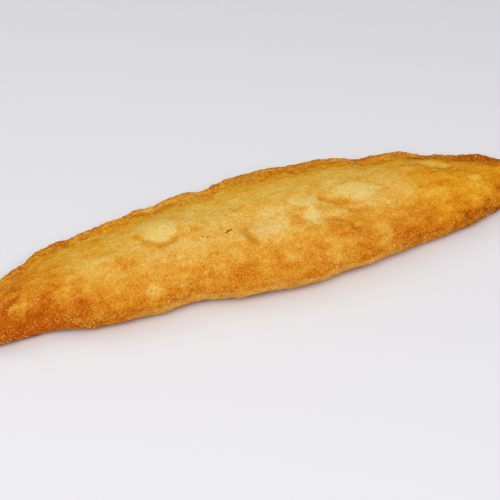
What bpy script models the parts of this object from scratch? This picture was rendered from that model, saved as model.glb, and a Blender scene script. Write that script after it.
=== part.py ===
"""A langos: a long, folded and sealed piece of yeast dough, deep fried until its skin blisters and browns.

It lies along X on its flattened underside, with the fat rounded fold towards -Y and the thin pressed seam
towards +Y. Everything is in metres, +Z is up, and the origin is the centre of its footprint at the bottom.
"""

import math
import random

import bmesh
import bpy
import numpy as np
from mathutils import Vector, noise

# Driving sizes
LENGTH = 0.331  # from tip to tip
FOLD_REACH = 0.0437  # widest reach of the fold from the spine line
SEAM_REACH = 0.0458  # widest reach of the seam from the spine line
CROWN_HEIGHT = 0.0268  # top of the puffed middle above the underside
FOLD_HEIGHT = 0.0105  # foremost line of the fold above the underside
SEAM_WIDTH = 0.0105  # pressed band along the back
SEAM_SHARE_LIMIT = 0.25  # near the tips the pressed band takes this share of the width
SEAM_THICKNESS = 0.0052
SEAM_EDGE_POWER = 4  # how square the pressed band's edge is
SEAM_HEIGHT = 0.0085  # middle of the seam's edge above the underside
TIP_LIFT = 0.0020  # how far the two tips curl up
LIFT_START = 0.118  # the underside is level within this distance of the middle

# How the outline narrows towards the tips: each side is reach * (1 - distance ** power) ** fullness,
# where distance runs from 0 at the widest place to 1 at the tip
LEFT_TIP, RIGHT_TIP = -LENGTH / 2, LENGTH / 2
SEAM_WIDEST, SEAM_POWER_LEFT, SEAM_POWER_RIGHT, SEAM_FULLNESS = 0.0185, 1.68, 1.8, 0.74
FOLD_WIDEST, FOLD_POWER_LEFT, FOLD_POWER_RIGHT, FOLD_FULLNESS = 0.0085, 2.35, 2.1, 0.74
LEAST_NARROWING = 0.3  # the scallops keep their size until the dough is this narrow
TIP_BLUNTNESS = 0.035  # how much of the width is left where the tips round off
TIP_ROUNDING = 40  # the higher this power, the shorter the rounding at the tips
SPINE_OFFSET = 0.0010  # the spine line's place across, on the right half
SPINE_BEND = 0.0210  # how far the left tip leans towards the fold side
BEND_POWER = 3  # how late the lean sets in
BEND_START = -0.0055  # the spine line is straight to the right of this

# Shallow scallops and notches of the two long edges: place along X, half-width, and reach gained
SEAM_SCALLOPS = (
    (-0.1420, 0.030, 0.0044),
    (-0.1290, 0.010, 0.0020),
    (-0.1160, 0.009, -0.0008),
    (-0.1075, 0.019, 0.0052),
    (-0.0845, 0.010, 0.0010),
    (-0.0655, 0.012, -0.0030),
    (-0.0485, 0.012, -0.0032),
    (-0.0362, 0.007, -0.0019),
    (-0.0275, 0.009, -0.0008),
    (-0.0165, 0.010, -0.0030),
    (0.0065, 0.014, -0.0006),
    (0.0325, 0.008, -0.0012),
    (0.0505, 0.014, 0.0034),
    (0.0745, 0.012, -0.0028),
    (0.0797, 0.006, 0.0012),
    (0.0865, 0.008, -0.0012),
    (0.1040, 0.012, 0.0034),
    (0.1235, 0.007, -0.0010),
    (0.1300, 0.007, 0.0012),
    (0.1405, 0.012, 0.0014),
)
FOLD_SWELLS = (
    (-0.1270, 0.020, -0.0024),
    (-0.1150, 0.014, -0.0032),
    (-0.1035, 0.008, -0.0010),
    (-0.0715, 0.010, -0.0013),
    (-0.0575, 0.006, -0.0010),
    (-0.0435, 0.017, -0.0046),
    (-0.0285, 0.009, -0.0016),
    (-0.0055, 0.009, 0.0010),
    (0.0110, 0.018, 0.0032),
    (0.0470, 0.010, 0.0016),
    (0.0770, 0.020, -0.0010),
    (0.1150, 0.014, 0.0021),
    (0.1340, 0.012, 0.0016),
)
SEAM_WAVES = ((0.0105, 0.0012, 0.0), (0.0048, 0.0007, 1.3))  # length over 2 pi, height, and start

# The cross section, by share of its width from the fold at 0 to the seam's inner line at 1
CREST_SHARE = 0.40  # where the top is highest
FRONT_POWER, FRONT_FULLNESS = 2.3, 0.55  # how round the fold's upper side is
BACK_POWER = 2.1  # how full the top stays before it drops to the seam
UNDERCUT_SHARE = 0.165  # how far under the fold the underside curves up
UNDERCUT_POWER, UNDERCUT_FULLNESS = 2.2, 0.6
LIFT_OFF_SHARE = 0.70  # from here the underside rises to the seam
THICKNESS_POWER, THICKNESS_FULLNESS = 2.6, 0.55  # how the height falls off at the tips

# The level face it rests on: four corners, two long sides that bend in a little, and a low step all round
REST_REACH = 0.0895  # half its length
REST_FOLD_SIDE, REST_SEAM_SIDE = -0.0235, 0.0090  # its sides across, at both its ends
REST_WAIST = 0.0015  # how far each side bends in at the middle
REST_FOLD_SHARES, REST_SEAM_SHARES = (0.15, 0.40), (0.50, 0.70)  # shares of the width they stay within
REST_STEP = 0.0009  # how far the rest of the underside stays off the surface
REST_STEP_REACH = 0.0035  # it rises that much over this distance

# Swellings and hollows of the upper skin: place along X and Y, half-length, half-width, turn in degrees,
# and rise, which is below 0 for a hollow
UPPER_RELIEF = (
    (-0.0505, 0.0020, 0.0150, 0.0140, -20, 0.0024),  # round blister left of the middle
    (-0.0530, -0.0140, 0.0130, 0.0060, -20, -0.0008),  # its foot on the fold side
    (0.0010, -0.0165, 0.0150, 0.0140, -20, -0.0008),  # flattened middle
    (-0.0110, -0.0190, 0.0080, 0.0055, 60, 0.0007),  # ridge at the left of the flattened middle
    (0.0245, -0.0090, 0.0140, 0.0065, -70, 0.0013),  # ridge left of the pucker
    (0.0520, -0.0010, 0.0190, 0.0075, -10, 0.0013),  # ridge behind the pucker
    (0.0425, -0.0130, 0.0140, 0.0070, -38, -0.0023),  # the pucker's hollow
    (0.0535, -0.0260, 0.0090, 0.0055, 70, -0.0013),  # groove at the pucker's right end
    (0.0360, -0.0215, 0.0130, 0.0045, -14, -0.0010),  # crease along the pucker's near side
    (0.0375, -0.0310, 0.0145, 0.0095, -20, 0.0021),  # swelling in front of that crease
    (0.1115, 0.0157, 0.0120, 0.0062, -22, 0.0022),  # long blister behind the right tip's crease
    (0.1090, 0.0022, 0.0130, 0.0040, -8, -0.0012),  # that crease
    (0.1225, -0.0120, 0.0090, 0.0080, 0, 0.0009),  # small blister near the right tip
    (0.0960, -0.0260, 0.0160, 0.0080, -25, -0.0009),
    (0.0760, -0.0100, 0.0200, 0.0100, -15, 0.0008),
    (-0.1331, -0.0235, 0.0100, 0.0068, 58, 0.0016),  # smooth blister near the left tip
    (-0.1236, -0.0278, 0.0095, 0.0075, 30, -0.0018),  # hollow beside it
    (-0.1150, -0.0170, 0.0120, 0.0100, 0, 0.0011),
    (-0.1010, -0.0260, 0.0120, 0.0090, 40, -0.0008),
    (-0.0850, -0.0130, 0.0180, 0.0110, 10, 0.0009),
    (-0.0290, -0.0300, 0.0150, 0.0090, -15, 0.0009),
    (-0.0750, -0.0310, 0.0120, 0.0090, -10, -0.0006),
    (0.0090, -0.0370, 0.0160, 0.0080, -15, -0.0007),
)
UPWARD_START, UPWARD_RANGE = -0.1, 0.5  # the upper relief fades out where the skin stops facing up

# Smaller blisters scattered over all the skin, and its broad unevenness
BLISTER_SEED = 41
BLISTER_COUNT = 190
BLISTER_RADIUS = (0.0048, 0.0095)
BLISTER_RISE = (0.0002, 0.0009)
UNEVENNESS = ((0.026, 0.0007), (0.011, 0.0004))  # spacing and height
RESTING_DEPTH = 0.003  # the relief of the underside fades out this close to the surface it rests on

# Mesh density
RINGS = 88  # cross sections from tip to tip
TOP_COLUMNS = 39  # points along the upper skin of a cross section
SEAM_SIDE_COLUMNS, FACE_COLUMNS, FOLD_SIDE_COLUMNS = 10, 8, 7  # points along its underside
COLUMNS = TOP_COLUMNS + SEAM_SIDE_COLUMNS + FACE_COLUMNS + FOLD_SIDE_COLUMNS
TIP_CROWDING = 0.3  # how much closer together the cross sections are at the tips
CURVE_STEPS = 160  # fine points each cross section is measured with

BROWNED_DOUGH = (0.66, 0.33, 0.07, 1.0)
BROWNED_DOUGH_ROUGHNESS = 0.5


def clear_scene():
    for old in list(bpy.data.objects):
        bpy.data.objects.remove(old, do_unlink=True)


def swell(distance):
    """1 at distance 0, falling smoothly to 0 at distance 1 and beyond."""
    return np.maximum(0.0, 1 - distance * distance) ** 2


def ease(value):
    """0 up to 0, 1 from 1 on, and a smooth step between."""
    value = np.clip(value, 0.0, 1.0)
    return value * value * (3 - 2 * value)


def taper(x, widest, power_left, power_right, fullness):
    """1 at the widest place of a side and 0 at either tip."""
    tip, power = (LEFT_TIP, power_left) if x < widest else (RIGHT_TIP, power_right)
    distance = min(1.0, (x - widest) / (tip - widest))
    rounding = math.sqrt(1 - distance**TIP_ROUNDING)
    return (1 - (1 - TIP_BLUNTNESS) * distance**power) ** fullness * rounding


def scalloped(x, bumps, narrowing):
    reach = sum(rise * swell((x - place) / half_width) for place, half_width, rise in bumps)
    return reach / max(narrowing, LEAST_NARROWING)


def spine(x):
    """The line between the two tips that both long edges are measured from."""
    leftwards = max(0.0, (BEND_START - x) / (BEND_START - LEFT_TIP))
    return SPINE_OFFSET - SPINE_BEND * leftwards**BEND_POWER


def seam_edge(x):
    narrowing = taper(x, SEAM_WIDEST, SEAM_POWER_LEFT, SEAM_POWER_RIGHT, SEAM_FULLNESS)
    return spine(x) + narrowing * (SEAM_REACH + scalloped(x, SEAM_SCALLOPS, narrowing))


def fold_edge(x):
    narrowing = taper(x, FOLD_WIDEST, FOLD_POWER_LEFT, FOLD_POWER_RIGHT, FOLD_FULLNESS)
    return spine(x) - narrowing * (FOLD_REACH + scalloped(x, FOLD_SWELLS, narrowing))


def thickness_share(x):
    """How much of the full height the dough keeps this far along."""
    return (1 - abs(x / RIGHT_TIP) ** THICKNESS_POWER) ** THICKNESS_FULLNESS


def tip_lift(x):
    return TIP_LIFT * max(0.0, (abs(x) - LIFT_START) / (RIGHT_TIP - LIFT_START)) ** 2


def seam_middle(x):
    """Height of the seam's middle, which waves a little along its length."""
    wave = sum(height * math.sin(x / length + start) for length, height, start in SEAM_WAVES)
    return (SEAM_HEIGHT + wave) * thickness_share(x)


def seam_share(x):
    """Share of the whole width at which the pressed band begins."""
    width = seam_edge(x) - fold_edge(x)
    return 1 - min(SEAM_WIDTH / width, SEAM_SHARE_LIMIT)


def half_seam(share, x):
    """Half the pressed band's thickness, rounded off at its edge."""
    across = max(0.0, (share - seam_share(x)) / (1 - seam_share(x)))
    return 0.5 * SEAM_THICKNESS * thickness_share(x) * math.sqrt(1 - across**SEAM_EDGE_POWER)


def upper_height(share, x):
    """Height of the upper skin, where share runs from 0 at the fold to 1 at the seam's edge."""
    inner = seam_share(x)
    band = seam_middle(x) + half_seam(share, x)
    if share >= inner:
        return band
    crown, fold = CROWN_HEIGHT * thickness_share(x), FOLD_HEIGHT * thickness_share(x)
    along = share / inner
    if along < CREST_SHARE:
        rounding = (1 - (1 - along / CREST_SHARE) ** FRONT_POWER) ** FRONT_FULLNESS
        return fold + (crown - fold) * rounding
    return band + (crown - band) * (1 - ((along - CREST_SHARE) / (1 - CREST_SHARE)) ** BACK_POWER)


def resting_shares(x):
    """Shares of the width at which the two long sides of the resting face lie."""
    waist = REST_WAIST * (1 - min(1.0, abs(x) / REST_REACH) ** 2)
    fold, width = fold_edge(x), seam_edge(x) - fold_edge(x)
    fold_side = (REST_FOLD_SIDE + waist - fold) / width
    seam_side = (REST_SEAM_SIDE - waist - fold) / width
    return np.clip(fold_side, *REST_FOLD_SHARES), np.clip(seam_side, *REST_SEAM_SHARES)


def lower_height(share, x):
    """Height of the underside, with the same share as upper_height."""
    inner = seam_share(x)
    band = seam_middle(x) - half_seam(share, x)
    if share >= inner:
        return band
    fold_side, seam_side = resting_shares(x)
    beside = max(fold_side - share, share - seam_side) * (seam_edge(x) - fold_edge(x))
    step = REST_STEP * ease(max(beside, abs(x) - REST_REACH) / REST_STEP_REACH)
    undercut, lift_off = min(UNDERCUT_SHARE, fold_side), max(LIFT_OFF_SHARE, seam_side)
    if share < undercut:
        rounding = (1 - (1 - share / undercut) ** UNDERCUT_POWER) ** UNDERCUT_FULLNESS
        return max(step, FOLD_HEIGHT * thickness_share(x) * (1 - rounding))
    return max(step, band * ease((share - lift_off) / (inner - lift_off)))


def even_points(height_at, x, count, start=0.0, end=1.0):
    """Count points at even distances along one skin of a cross section, between two shares of its width."""
    turns = np.linspace(0.0, math.pi, CURVE_STEPS)
    shares = start + (end - start) * (1 - np.cos(turns)) / 2
    across = fold_edge(x) + (seam_edge(x) - fold_edge(x)) * shares
    heights = np.array([height_at(float(share), x) for share in shares]) + tip_lift(x)
    steps = np.hypot(np.diff(across), np.diff(heights))
    run = np.concatenate([[0.0], np.cumsum(steps)])
    wanted = np.linspace(0.0, run[-1], count)
    return list(zip(np.interp(wanted, run, across), np.interp(wanted, run, heights)))


def cross_section(x):
    """COLUMNS points around the dough: along the upper skin to the seam's edge and back underneath."""
    fold_side, seam_side = resting_shares(x)
    upper = even_points(upper_height, x, TOP_COLUMNS + 1)
    to_face = even_points(lower_height, x, SEAM_SIDE_COLUMNS + 1, 1.0, seam_side)
    face = even_points(lower_height, x, FACE_COLUMNS + 1, seam_side, fold_side)
    to_fold = even_points(lower_height, x, FOLD_SIDE_COLUMNS + 1, fold_side, 0.0)
    return upper[:-1] + to_face[:-1] + face[:-1] + to_fold[:-1]


def station(share):
    """Place along X of a cross section, closer together near the tips."""
    run = 2 * share - 1
    crowded = (1 - TIP_CROWDING) * run + TIP_CROWDING * math.sin(math.pi / 2 * run)
    return crowded * LENGTH / 2


def make_skin():
    """A sphere's rings and columns moved onto the dough's cross sections."""
    bm = bmesh.new()
    bmesh.ops.create_uvsphere(bm, u_segments=COLUMNS, v_segments=RINGS, radius=1.0)
    sections = {}
    for vert in bm.verts:
        ring = round(math.acos(max(-1.0, min(1.0, vert.co.z))) / math.pi * RINGS)
        column = round(math.atan2(vert.co.y, vert.co.x) / math.tau * COLUMNS) % COLUMNS
        x = station(ring / RINGS)
        if ring in (0, RINGS):
            vert.co = Vector((x, spine(x), seam_middle(x) + tip_lift(x)))
            continue
        if ring not in sections:
            sections[ring] = cross_section(x)
        across, height = sections[ring][column]
        vert.co = Vector((x, across, height))
    bm.normal_update()
    bmesh.ops.recalc_face_normals(bm, faces=bm.faces)
    bm.normal_update()
    return bm


def upper_relief(points, normals):
    """Rise of the named swellings and hollows at each point, which only the upper skin has."""
    rise = np.zeros(len(points))
    for x, y, half_length, half_width, turn, height in UPPER_RELIEF:
        cosine, sine = math.cos(math.radians(turn)), math.sin(math.radians(turn))
        along = cosine * (points[:, 0] - x) + sine * (points[:, 1] - y)
        across = cosine * (points[:, 1] - y) - sine * (points[:, 0] - x)
        rise += height * swell(np.hypot(along / half_length, across / half_width))
    return rise * ease((normals[:, 2] - UPWARD_START) / UPWARD_RANGE)


def scattered_relief(points):
    """Rise of the scattered blisters and of the broad unevenness at each point."""
    rise = np.zeros(len(points))
    rng = random.Random(BLISTER_SEED)
    for _ in range(BLISTER_COUNT):
        centre = points[rng.randrange(len(points))]
        distances = np.linalg.norm(points - centre, axis=1)
        rise += rng.uniform(*BLISTER_RISE) * swell(distances / rng.uniform(*BLISTER_RADIUS))
    for spacing, height in UNEVENNESS:
        rise += height * np.array([noise.noise(Vector(point) / spacing) for point in points])
    return rise


def blister(bm):
    """Moves the skin in and out along its normals and keeps the face it rests on level."""
    points = np.array([vert.co for vert in bm.verts])
    normals = np.array([vert.normal for vert in bm.verts])
    rise = upper_relief(points, normals) + scattered_relief(points)
    underneath = ease(-normals[:, 2] / UPWARD_RANGE)
    rise *= 1 - underneath * (1 - ease(points[:, 2] / RESTING_DEPTH))
    points += normals * rise[:, None]
    points[:, 2] = np.maximum(points[:, 2], 0.0)
    middle = (points.min(axis=0) + points.max(axis=0)) / 2
    for vert, point in zip(bm.verts, points):
        vert.co = (point[0] - middle[0], point[1] - middle[1], point[2])


def browned_dough():
    material = bpy.data.materials.new("browned dough")
    material.use_nodes = True
    shader = material.node_tree.nodes["Principled BSDF"]
    shader.inputs["Base Color"].default_value = BROWNED_DOUGH
    shader.inputs["Roughness"].default_value = BROWNED_DOUGH_ROUGHNESS
    shader.inputs["Metallic"].default_value = 0.0
    material.diffuse_color = BROWNED_DOUGH
    return material


def make_langos():
    bm = make_skin()
    blister(bm)
    mesh = bpy.data.meshes.new("langos")
    bm.to_mesh(mesh)
    bm.free()
    mesh.materials.append(browned_dough())
    mesh.shade_smooth()
    langos = bpy.data.objects.new("langos", mesh)
    bpy.context.scene.collection.objects.link(langos)


def main():
    clear_scene()
    make_langos()


main()
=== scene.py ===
"""A langos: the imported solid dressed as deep-fried dough, with its browned and blistered crust.

Run as a script, it builds every piece in order. Laid out as an add-on, it keeps the sizes and colours that
a user would change in property groups, which the panel in the 3D view's sidebar shows.
"""

import math

import bmesh
import bpy
import numpy as np
from bpy.props import FloatProperty, FloatVectorProperty, IntProperty, PointerProperty
from mathutils import Matrix, Vector, noise
from mathutils.kdtree import KDTree


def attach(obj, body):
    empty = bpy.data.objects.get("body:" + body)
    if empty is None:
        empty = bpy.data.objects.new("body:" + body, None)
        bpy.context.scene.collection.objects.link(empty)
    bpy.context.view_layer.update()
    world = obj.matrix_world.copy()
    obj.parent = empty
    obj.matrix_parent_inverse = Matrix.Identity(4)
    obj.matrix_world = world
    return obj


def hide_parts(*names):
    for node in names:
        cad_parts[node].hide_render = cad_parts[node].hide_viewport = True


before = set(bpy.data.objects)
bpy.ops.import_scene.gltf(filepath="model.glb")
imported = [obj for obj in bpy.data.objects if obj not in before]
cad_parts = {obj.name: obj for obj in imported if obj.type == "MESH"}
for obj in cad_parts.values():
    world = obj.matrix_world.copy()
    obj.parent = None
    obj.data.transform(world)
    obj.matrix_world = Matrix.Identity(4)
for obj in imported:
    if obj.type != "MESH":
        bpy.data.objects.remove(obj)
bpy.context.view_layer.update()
NODE = "langos"
BODY = "root"

bl_info = {
    "name": "Fried langos",
    "version": (1, 0, 0),
    "blender": (4, 5, 0),
    "location": "View3D > Sidebar > Langos",
    "description": "Dresses the packed langos with a browned, blistered crust",
    "category": "Object",
}


def colour(name, description, default):
    return FloatVectorProperty(name=name, description=description, subtype="COLOR", size=3, default=default)


def length(name, description, default):
    return FloatProperty(name=name, description=description, default=default, unit="LENGTH", precision=5)


def how_many(name, description, default):
    return IntProperty(name=name, description=description, default=default)


def watts(name, description, default):
    return FloatProperty(name=name, description=description, default=default, unit="POWER")


class LangosSizes(bpy.types.PropertyGroup):
    """Sizes and counts of the crust's relief and of what stands on it."""

    skin_spacing: length("Skin spacing", "Distance between the points of the crust's mesh", 0.00082)
    blister_count: how_many("Blisters", "Blisters a few millimetres wide", 1300)
    blister_rise: length("Blister rise", "Height of the tallest of these blisters", 0.0005)
    pebble_count: how_many("Pebbles", "Fine bubbles that roughen the skin", 12000)
    pebble_rise: length("Pebble rise", "Height of the tallest fine bubble", 0.00022)
    bubble_count: how_many("Hard bubbles", "Hard little oil bubbles", 7200)
    bubble_radius: length("Hard bubble radius", "Radius of the widest hard bubble", 0.00072)
    crumb_count: how_many("Crumbs", "Pale crumbs, most of them along the edges", 3200)
    crumb_radius: length("Crumb radius", "Radius of the widest crumb", 0.00048)
    fleck_count: how_many("Dark flecks", "Scorched flecks over the top, besides those placed one by one", 26)


class LangosColours(bpy.types.PropertyGroup):
    """Colours of the skin, from pale to dark on the fold side and on the seam side, and of what is on it."""

    fold_pale: colour("Fold side, pale", "Skin that was hardly browned", (0.8, 0.58, 0.2))
    fold_golden: colour("Fold side, golden", "Lightly browned skin", (0.76, 0.415, 0.068))
    fold_amber: colour("Fold side, amber", "Browned skin", (0.7, 0.295, 0.024))
    fold_brown: colour("Fold side, brown", "Well browned skin", (0.62, 0.19, 0.006))
    fold_dark: colour("Fold side, dark", "The most browned skin", (0.45, 0.08, 0.002))
    seam_pale: colour("Seam side, pale", "Skin that was hardly browned", (0.8, 0.555, 0.125))
    seam_golden: colour("Seam side, golden", "Lightly browned skin", (0.785, 0.405, 0.028))
    seam_amber: colour("Seam side, amber", "Browned skin", (0.715, 0.285, 0.008))
    seam_brown: colour("Seam side, brown", "Well browned skin", (0.61, 0.18, 0.003))
    seam_dark: colour("Seam side, dark", "The most browned skin", (0.35, 0.07, 0.002))
    # Painted shade in the creases, and also the darker line and mottles along the seam
    crease: colour("Creases", "Skin down in the creases", (0.5, 0.225, 0.022))
    # Pale grains on the lower rim, partly real and partly painted bounce light from below
    grain: colour("Grains", "Pale grains on the crusty rim", (0.95, 0.57, 0.14))
    # Pale specks and bubble tops: partly lighter skin, partly painted glints
    speck_and_glint: colour("Specks", "Tops of the finest bubbles", (0.86, 0.5, 0.095))
    crumb: colour("Crumbs", "Crumbs and floury specks on pale skin", (0.85, 0.51, 0.13))
    toasted_crumb: colour("Toasted crumbs", "Crumbs on the darkest skin", (0.78, 0.39, 0.07))
    fleck: colour("Dark flecks", "Scorched flecks", (0.27, 0.038, 0.001))
    pinhole: colour("Pinholes", "Pinholes in the pale skin", (0.44, 0.18, 0.02))


class LangosStage(bpy.types.PropertyGroup):
    """The floor and the lamps."""

    floor: colour("Floor", "Colour of the floor", (0.8, 0.79, 0.81))
    key_power: watts("Key power", "The lamp in front on the left", 7.0)
    fill_power: watts("Fill power", "The lamp in front on the right", 5.5)
    top_power: watts("Top power", "The lamp above", 1.3)
    back_power: watts("Back power", "The lamp behind on the left", 2.6)
    sky: FloatProperty(name="Sky", description="Strength of the light from all round", default=0.26)


# Places on the upper skin: X, Y, half-length, half-width, turn in degrees, and how much darker it is; some
# are painted shade
BROWNED_PATCHES = (
    # left tip
    (-0.142, -0.03, 0.013, 0.01, 0, 0.26),
    (-0.137, -0.021, 0.005, 0.005, 0, 0.18),
    (-0.134, 0.009, 0.006, 0.006, 0, -0.42),
    (-0.133, -0.032, 0.01, 0.005, -5, 0.4),
    (-0.1325, -0.0205, 0.006, 0.0036, -20, 0.26),
    (-0.13, -0.017, 0.0055, 0.005, -20, 0.16),
    (-0.129, 0.0117, 0.0085, 0.006, -20, -0.38),
    (-0.129, -0.019, 0.007, 0.004, -20, 0.32),
    (-0.1285, -0.0095, 0.004, 0.0065, -20, 0.12),
    (-0.1249, -0.0249, 0.0045, 0.004, -20, -0.16),
    # painted shade in the hollow near the left tip
    (-0.123, -0.029, 0.009, 0.0065, 20, 0.2),  # hollow near the left tip
    (-0.12, 0.0165, 0.0065, 0.005, -20, -0.28),
    (-0.119, -0.0108, 0.0055, 0.0035, -20, -0.2),
    (-0.1163, -0.0232, 0.0065, 0.005, -20, 0.26),
    (-0.112, -0.0185, 0.006, 0.003, -20, 0.14),
    (-0.1114, 0.0209, 0.0075, 0.005, -20, -0.16),
    (-0.1104, -0.0135, 0.0055, 0.005, -20, 0.16),
    # left part
    (-0.1093, -0.003, 0.005, 0.0035, -20, 0.16),
    (-0.1085, -0.0207, 0.0055, 0.005, -20, 0.16),
    (-0.1071, -0.0245, 0.008, 0.005, -20, -0.14),
    (-0.1002, -0.0315, 0.0065, 0.006, 0, 0.14),
    (-0.1, -0.0206, 0.0065, 0.0065, -20, 0.28),
    (-0.0924, -0.013, 0.017, 0.009, -10, -0.1),
    (-0.089, 0.009, 0.005, 0.006, -20, 0.12),
    (-0.0885, -0.0362, 0.0065, 0.0045, -15, 0.2),
    (-0.0842, 0.0128, 0.007, 0.006, -20, 0.14),
    (-0.0841, 0.0027, 0.006, 0.006, -20, 0.16),
    (-0.083, 0.01, 0.0065, 0.006, -20, 0.16),
    (-0.0745, -0.0183, 0.0085, 0.006, -20, 0.34),
    (-0.064, -0.0296, 0.0055, 0.0055, -20, -0.2),
    (-0.063, -0.0008, 0.005, 0.006, -20, 0.26),
    # painted shade on the round blister's near left side
    (-0.0612, -0.0062, 0.0042, 0.0062, -20, 0.32),  # left of the round blister
    (-0.0583, -0.0312, 0.0065, 0.006, -20, -0.26),
    (-0.0511, -0.0339, 0.006, 0.0045, -20, -0.18),
    (-0.051, -0.0315, 0.008, 0.005, -20, -0.14),
    (-0.05, 0.032, 0.011, 0.005, -5, -0.46),
    (-0.048, -0.0262, 0.006, 0.0055, -20, -0.16),
    (-0.0443, -0.0378, 0.006, 0.003, -20, 0.16),
    (-0.042, -0.004, 0.005, 0.0055, -20, 0.18),
    (-0.042, -0.0085, 0.004, 0.005, -20, 0.16),
    (-0.0415, -0.0253, 0.005, 0.005, -20, -0.16),
    # middle
    (-0.0357, -0.0254, 0.006, 0.006, -20, -0.18),
    (-0.0355, -0.0085, 0.005, 0.005, -20, 0.34),  # right of the round blister
    (-0.031, -0.003, 0.005, 0.006, -20, 0.16),
    (-0.0309, -0.0358, 0.006, 0.0045, -20, -0.24),
    (-0.0305, -0.0161, 0.0017, 0.0011, -20, 0.4),
    (-0.0298, -0.0273, 0.0011, 0.0015, -20, 0.4),
    (-0.0293, -0.0312, 0.005, 0.0045, -20, -0.16),
    (-0.0284, -0.0065, 0.005, 0.005, -20, 0.16),
    (-0.0275, -0.0365, 0.0055, 0.0035, -20, -0.14),
    (-0.0212, -0.0292, 0.006, 0.006, -20, -0.18),
    (-0.019, -0.0405, 0.011, 0.0044, -16, 0.18),
    (-0.0178, -0.0328, 0.0055, 0.005, -20, -0.18),
    (-0.014, 0.011, 0.008, 0.006, -20, 0.14),
    (-0.0093, -0.0284, 0.005, 0.005, -20, -0.16),
    (-0.008, -0.0362, 0.006, 0.005, -20, -0.14),
    (-0.0076, -0.0429, 0.006, 0.0035, -15, -0.18),
    (0.0000, 0.0215, 0.009, 0.006, -20, 0.14),
    (0.002, -0.029, 0.006, 0.005, -20, -0.18),
    (0.004, -0.0355, 0.011, 0.006, -15, 0.14),
    (0.0055, -0.0375, 0.0065, 0.0055, -20, -0.46),
    (0.0077, -0.0274, 0.0055, 0.0045, -20, -0.2),
    (0.0127, 0.0014, 0.01, 0.008, -20, -0.18),
    (0.014, -0.0445, 0.012, 0.003, -12, 0.18),
    # painted shade at the foot of the ridge left of the pucker
    (0.0157, -0.021, 0.0065, 0.004, -25, 0.22),  # foot of the ridge left of the pucker
    (0.0255, -0.0372, 0.005, 0.005, -20, -0.16),
    (0.0271, -0.0254, 0.0045, 0.004, -20, -0.2),
    (0.0306, -0.038, 0.006, 0.0065, -20, -0.48),
    (0.0358, -0.0315, 0.0125, 0.0085, -20, 0.16),  # swelling in front of the pucker
    # right part
    (0.037, -0.038, 0.0055, 0.005, -20, -0.28),
    (0.0414, -0.0139, 0.0055, 0.0045, -20, 0.2),
    (0.042, 0.0015, 0.0075, 0.006, -20, -0.2),
    (0.045, -0.044, 0.006, 0.003, -20, 0.14),
    (0.0455, 0.006, 0.008, 0.006, -20, -0.14),
    # painted shade in the pucker's hollow
    (0.0456, -0.0125, 0.012, 0.006, -30, 0.1),  # the pucker's hollow
    (0.0461, -0.034, 0.005, 0.005, -20, 0.26),
    (0.0475, -0.0258, 0.0045, 0.0045, -20, 0.18),
    (0.0479, -0.0172, 0.005, 0.0045, -20, 0.16),
    # painted shade at the far end of the hollow
    (0.0505, -0.0225, 0.0085, 0.005, -15, 0.2),  # far end of the hollow
    (0.051, -0.0425, 0.0055, 0.003, -20, 0.2),
    (0.058, -0.034, 0.007, 0.0065, -20, -0.22),
    (0.059, -0.0405, 0.007, 0.004, -15, -0.26),
    (0.0663, -0.0386, 0.0065, 0.004, -20, 0.14),
    (0.0713, -0.0248, 0.005, 0.005, -20, 0.14),
    (0.074, -0.036, 0.017, 0.0055, -18, 0.2),
    (0.0743, 0.0345, 0.009, 0.003, -5, 0.3),
    (0.078, -0.0254, 0.008, 0.006, -20, 0.24),
    (0.0835, -0.0315, 0.006, 0.005, -20, 0.14),
    (0.085, 0.012, 0.012, 0.0065, -20, 0.26),
    (0.086, -0.0385, 0.011, 0.004, -20, 0.16),
    (0.089, -0.0351, 0.009, 0.0045, -20, 0.2),
    (0.089, -0.0225, 0.012, 0.0065, -20, 0.26),
    (0.0905, -0.02, 0.005, 0.004, -20, -0.1),
    (0.0955, -0.0265, 0.009, 0.0045, -20, -0.24),
    (0.096, 0.0095, 0.009, 0.0055, -20, 0.26),
    (0.096, -0.003, 0.033, 0.017, -20, 0.1),
    (0.0985, 0.011, 0.008, 0.005, -20, 0.16),
    (0.0991, -0.0013, 0.0095, 0.0035, -10, 0.16),
    (0.1007, -0.0125, 0.008, 0.006, -20, 0.14),
    (0.1035, 0.022, 0.008, 0.0045, -15, 0.34),
    (0.1051, 0.025, 0.0085, 0.0045, -15, 0.26),
    (0.1087, -0.0322, 0.007, 0.004, -20, 0.16),
    # right tip
    (0.115, 0.024, 0.0085, 0.004, -15, 0.18),
    (0.115, -0.0258, 0.013, 0.005, 22, -0.28),
    (0.1155, -0.03, 0.012, 0.006, -15, 0.12),
    (0.117, -0.0252, 0.007, 0.006, -20, -0.24),
    (0.127, -0.0215, 0.013, 0.0065, -20, -0.34),
    (0.132, -0.027, 0.007, 0.0045, -20, 0.24),
    (0.1363, 0.015, 0.018, 0.0085, -20, 0.3),
    (0.1415, 0.0004, 0.0085, 0.007, -20, 0.38),
    (0.1479, 0.0075, 0.0095, 0.008, 0, 0.34),
)

# Smooth swellings with a firm edge, in the same way
SMOOTH_BLISTERS = (
    (-0.0528, -0.0029, 0.0088, 0.009, 0, -0.26),  # round blister left of the middle
    (0.0031, -0.0168, 0.0125, 0.0088, 70, -0.18),  # flattened middle
    (0.0248, -0.0047, 0.0075, 0.006, -20, -0.22),  # ridge left of the pucker
    (0.0245, -0.0181, 0.006, 0.0048, 70, -0.22),  # its near end
    (0.0532, -0.0061, 0.0112, 0.0072, -20, -0.26),  # ridge behind the pucker
    (0.1225, -0.0125, 0.004, 0.0026, -20, -0.26),  # pale spot near the right tip
    (-0.065, -0.0358, 0.0045, 0.0032, -10, -0.3),
    (0.1088, 0.009, 0.008, 0.0034, -18, -0.3),  # long blister on the seam
    (-0.1316, -0.0256, 0.0088, 0.0042, 57, -0.34),  # bright blister near the left tip
    (-0.1325, -0.0146, 0.0034, 0.0028, 0, -0.16),
)
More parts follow.
